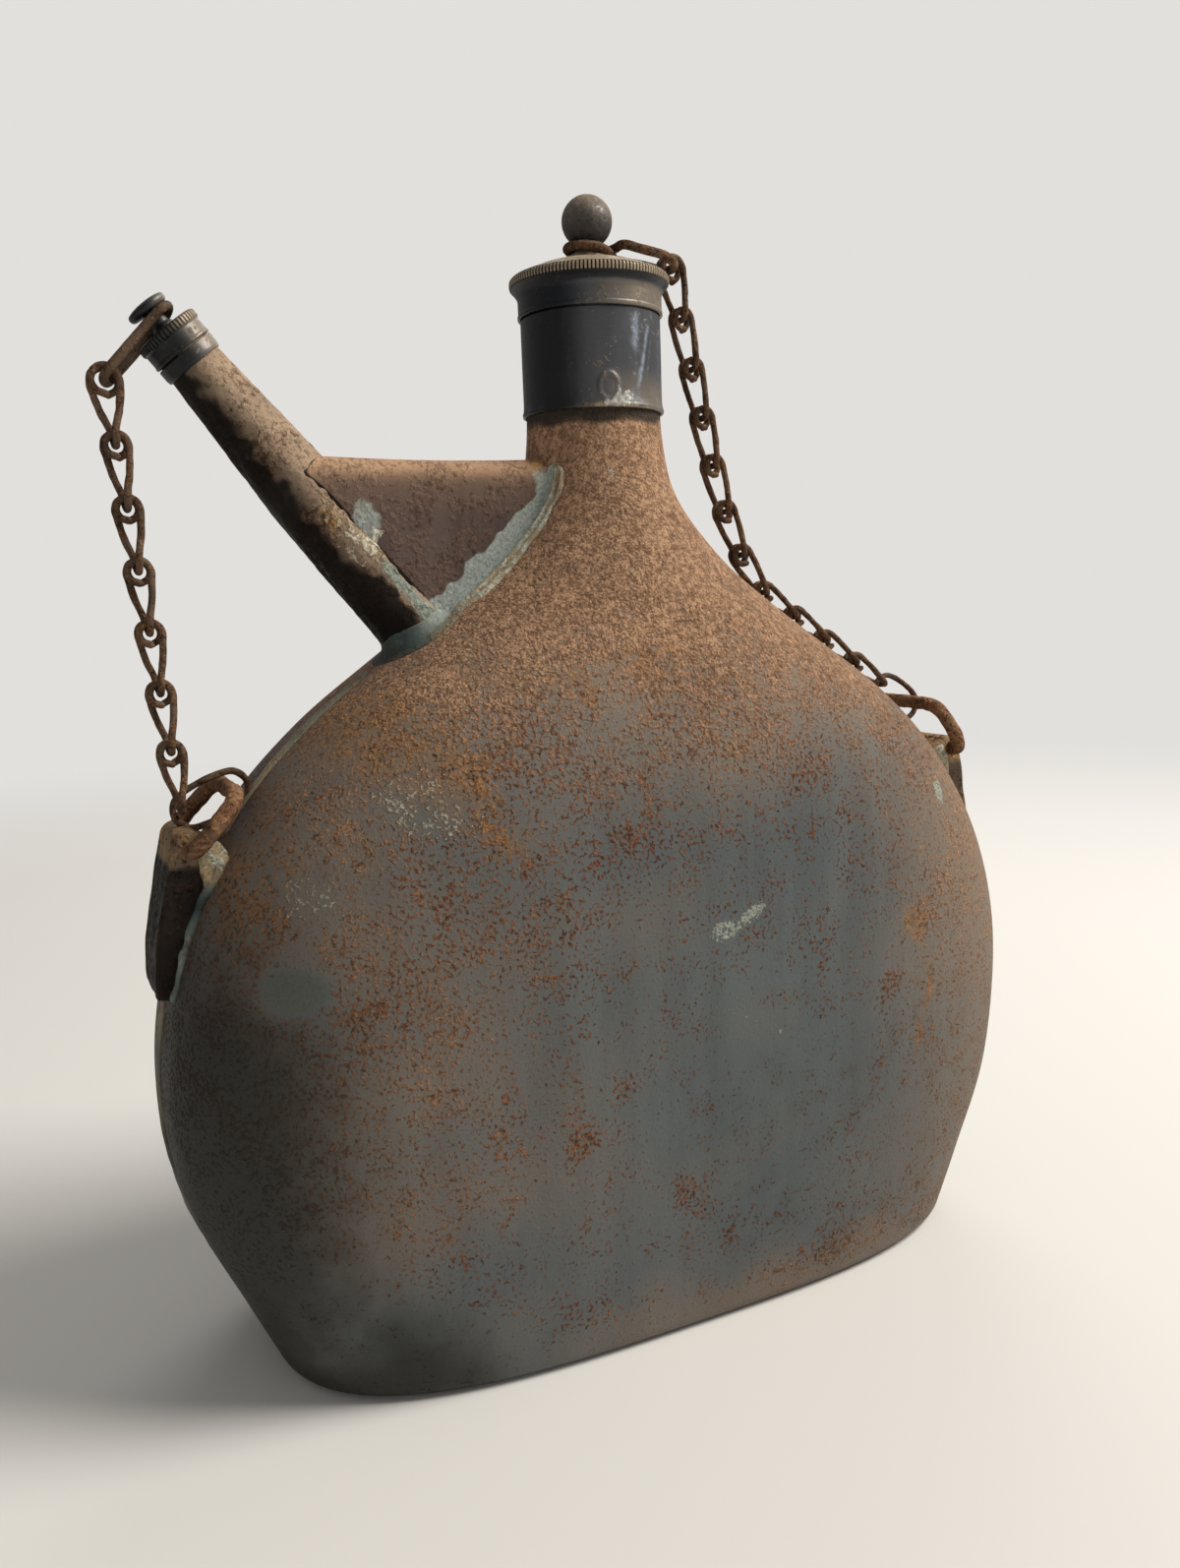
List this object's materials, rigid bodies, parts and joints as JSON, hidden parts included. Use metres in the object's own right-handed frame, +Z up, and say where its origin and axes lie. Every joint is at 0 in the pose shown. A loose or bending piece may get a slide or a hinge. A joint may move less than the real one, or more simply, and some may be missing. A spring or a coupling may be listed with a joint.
{
  "type": "field canteen",
  "caption": "Flat-sided metal field canteen with a screw-capped neck, a braced drinking spout with its own cap, keeper chains and strap rings.",
  "frame": {"origin": "on the base plane under the neck axis", "axes": "+Z up along the neck, +X along the width with the spout towards -X, +Y towards the back"},
  "size_m": [0.2052, 0.0824, 0.2397],
  "materials": {
    "rusty_steel": "blue-grey tinned steel with dense fine brown rust",
    "dark_tin": "dark gunmetal patina",
    "spout_steel": "dark brown worn steel",
    "brown_sheet": "chocolate-brown rust with grey tinned borders",
    "grey_solder": "dull grey-green solder",
    "rusty_wire": "brown rusted wire",
    "leather": "hard old leather"
  },
  "bodies": {
    "canteen_body": {"front_shell": "rusty_steel", "back_shell": "rusty_steel", "left_seam_strip_lower": "grey_solder", "right_seam_strip_lower": "grey_solder", "left_seam_strip_upper": "grey_solder", "right_seam_strip_upper": "grey_solder", "neck_collar": "dark_tin", "spout_tube": "spout_steel", "spout_foot": "grey_solder", "spout_gusset": "brown_sheet", "gusset_bead_front": "grey_solder", "gusset_bead_back": "grey_solder", "spout_collar": "dark_tin", "left_ring_lug": "dark_tin", "right_ring_lug": "dark_tin"},
    "cap_washer": {"main_cap_seal": "leather"},
    "screw_cap": {"main_cap": "dark_tin", "cap_knob": "dark_tin"},
    "keeper_hook": {"cap_hook": "rusty_wire"},
    "spout_washer": {"spout_cap_seal": "leather"},
    "spout_screw_cap": {"spout_cap": "dark_tin", "spout_button": "dark_tin"},
    "pear_link": {"spout_pear_link": "rusty_wire"},
    "left_ring": {"left_strap_ring": "rusty_wire"},
    "right_ring": {"right_strap_ring": "rusty_wire"},
    "left_link_1": {"left_chain_link_1": "rusty_wire"},
    "left_link_2": {"left_chain_link_2": "rusty_wire"},
    "left_link_3": {"left_chain_link_3": "rusty_wire"},
    "left_link_4": {"left_chain_link_4": "rusty_wire"},
    "left_link_5": {"left_chain_link_5": "rusty_wire"},
    "left_link_6": {"left_chain_link_6": "rusty_wire"},
    "left_link_7": {"left_chain_link_7": "rusty_wire"},
    "left_end": {"left_end_link": "rusty_wire"},
    "right_link_1": {"right_chain_link_1": "rusty_wire"},
    "right_link_2": {"right_chain_link_2": "rusty_wire"},
    "right_link_3": {"right_chain_link_3": "rusty_wire"},
    "right_link_4": {"right_chain_link_4": "rusty_wire"},
    "right_link_5": {"right_chain_link_5": "rusty_wire"},
    "right_link_6": {"right_chain_link_6": "rusty_wire"},
    "right_link_7": {"right_chain_link_7": "rusty_wire"},
    "right_link_8": {"right_chain_link_8": "rusty_wire"},
    "right_link_9": {"right_chain_link_9": "rusty_wire"},
    "right_link_10": {"right_chain_link_10": "rusty_wire"},
    "right_link_11": {"right_chain_link_11": "rusty_wire"},
    "right_end": {"right_end_link": "rusty_wire"}
  },
  "joints": [
    {"name": "main_cap_lift", "type": "slide", "parent": "canteen_body", "child": "cap_washer", "axis": [0, 0, 1], "range_m": [0, 0.0012]},
    {"name": "main_cap_turn", "type": "hinge", "parent": "cap_washer", "child": "screw_cap", "pos_m": [0, 0, 0.22], "axis": [0, 0, 1], "range_deg": [0, 360]},
    {"name": "hook_swivel", "type": "hinge", "parent": "cap_washer", "child": "keeper_hook", "pos_m": [0, 0, 0.2286], "axis": [0, 0, 1], "range_deg": [-3, 3]},
    {"name": "spout_cap_lift", "type": "slide", "parent": "canteen_body", "child": "spout_washer", "axis": [-0.6266, 0, 0.7793], "range_m": [0, 0.0012]},
    {"name": "spout_cap_turn", "type": "hinge", "parent": "spout_washer", "child": "spout_screw_cap", "pos_m": [-0.0844, 0, 0.2014], "axis": [-0.6266, 0, 0.7793], "range_deg": [0, 360]},
    {"name": "pear_link_swivel", "type": "hinge", "parent": "spout_washer", "child": "pear_link", "pos_m": [-0.0844, 0, 0.2014], "axis": [-0.6266, 0, 0.7793], "range_deg": [-3, 3]},
    {"name": "left_ring_swing", "type": "hinge", "parent": "canteen_body", "child": "left_ring", "pos_m": [-0.093, 0, 0.11001], "axis": [0, 1, 0], "range_deg": [-2.5, 2.5]},
    {"name": "right_ring_swing", "type": "hinge", "parent": "canteen_body", "child": "right_ring", "pos_m": [0.093, 0, 0.11001], "axis": [0, 1, 0], "range_deg": [-2.5, 2.5]},
    {"name": "left_link_1_twist", "type": "hinge", "parent": "pear_link", "child": "left_link_1", "pos_m": [-0.09951, 0, 0.19653], "axis": [0.087, 0, -0.9962], "range_deg": [-5, 5]},
    {"name": "left_link_2_twist", "type": "hinge", "parent": "pear_link", "child": "left_link_2", "pos_m": [-0.09857, 0, 0.18577], "axis": [0.087, 0, -0.9962], "range_deg": [-5, 5]},
    {"name": "left_link_3_twist", "type": "hinge", "parent": "pear_link", "child": "left_link_3", "pos_m": [-0.09763, 0, 0.17502], "axis": [0.087, 0, -0.9962], "range_deg": [-5, 5]},
    {"name": "left_link_4_twist", "type": "hinge", "parent": "pear_link", "child": "left_link_4", "pos_m": [-0.09669, 0, 0.16426], "axis": [0.087, 0, -0.9962], "range_deg": [-5, 5]},
    {"name": "left_link_5_twist", "type": "hinge", "parent": "pear_link", "child": "left_link_5", "pos_m": [-0.09575, 0, 0.1535], "axis": [0.087, 0, -0.9962], "range_deg": [-5, 5]},
    {"name": "left_link_6_twist", "type": "hinge", "parent": "pear_link", "child": "left_link_6", "pos_m": [-0.09481, 0, 0.14274], "axis": [0.087, 0, -0.9962], "range_deg": [-5, 5]},
    {"name": "left_link_7_twist", "type": "hinge", "parent": "pear_link", "child": "left_link_7", "pos_m": [-0.09387, 0, 0.13198], "axis": [0.087, 0, -0.9962], "range_deg": [-5, 5]},
    {"name": "left_end_link_twist", "type": "hinge", "parent": "pear_link", "child": "left_end", "pos_m": [-0.09293, 0, 0.12122], "axis": [0.9234, 0, 0.3839], "range_deg": [-5, 5]},
    {"name": "right_link_1_twist", "type": "hinge", "parent": "keeper_hook", "child": "right_link_1", "pos_m": [0.0213, 0, 0.2269], "axis": [0.1787, 0, -0.9839], "range_deg": [-5, 5]},
    {"name": "right_link_2_twist", "type": "hinge", "parent": "keeper_hook", "child": "right_link_2", "pos_m": [0.02322, 0, 0.2163], "axis": [0.1808, 0, -0.9835], "range_deg": [-5, 5]},
    {"name": "right_link_3_twist", "type": "hinge", "parent": "keeper_hook", "child": "right_link_3", "pos_m": [0.02517, 0, 0.20571], "axis": [0.1931, 0, -0.9812], "range_deg": [-5, 5]},
    {"name": "right_link_4_twist", "type": "hinge", "parent": "keeper_hook", "child": "right_link_4", "pos_m": [0.02725, 0, 0.19514], "axis": [0.223, 0, -0.9748], "range_deg": [-5, 5]},
    {"name": "right_link_5_twist", "type": "hinge", "parent": "keeper_hook", "child": "right_link_5", "pos_m": [0.02966, 0, 0.18464], "axis": [0.2813, 0, -0.9596], "range_deg": [-5, 5]},
    {"name": "right_link_6_twist", "type": "hinge", "parent": "keeper_hook", "child": "right_link_6", "pos_m": [0.03268, 0, 0.17431], "axis": [0.3711, 0, -0.9286], "range_deg": [-5, 5]},
    {"name": "right_link_7_twist", "type": "hinge", "parent": "keeper_hook", "child": "right_link_7", "pos_m": [0.03668, 0, 0.16431], "axis": [0.5147, 0, -0.8574], "range_deg": [-5, 5]},
    {"name": "right_link_8_twist", "type": "hinge", "parent": "keeper_hook", "child": "right_link_8", "pos_m": [0.04221, 0, 0.1551], "axis": [0.8059, 0, -0.5921], "range_deg": [-5, 5]},
    {"name": "right_link_9_twist", "type": "hinge", "parent": "keeper_hook", "child": "right_link_9", "pos_m": [0.05087, 0, 0.14873], "axis": [0.8044, 0, -0.5941], "range_deg": [-5, 5]},
    {"name": "right_link_10_twist", "type": "hinge", "parent": "keeper_hook", "child": "right_link_10", "pos_m": [0.05954, 0, 0.14233], "axis": [0.8072, 0, -0.5903], "range_deg": [-5, 5]},
    {"name": "right_link_11_twist", "type": "hinge", "parent": "keeper_hook", "child": "right_link_11", "pos_m": [0.06824, 0, 0.13597], "axis": [0.8076, 0, -0.5898], "range_deg": [-5, 5]},
    {"name": "right_end_link_twist", "type": "hinge", "parent": "keeper_hook", "child": "right_end", "pos_m": [0.07693, 0, 0.12962], "axis": [0.8339, 0, -0.552], "range_deg": [-5, 5]}
  ],
  "couplings": [
    {"joint": "main_cap_turn", "follows": "main_cap_lift", "rad_per_m": 5236},
    {"joint": "spout_cap_turn", "follows": "spout_cap_lift", "rad_per_m": 5236}
  ]
}
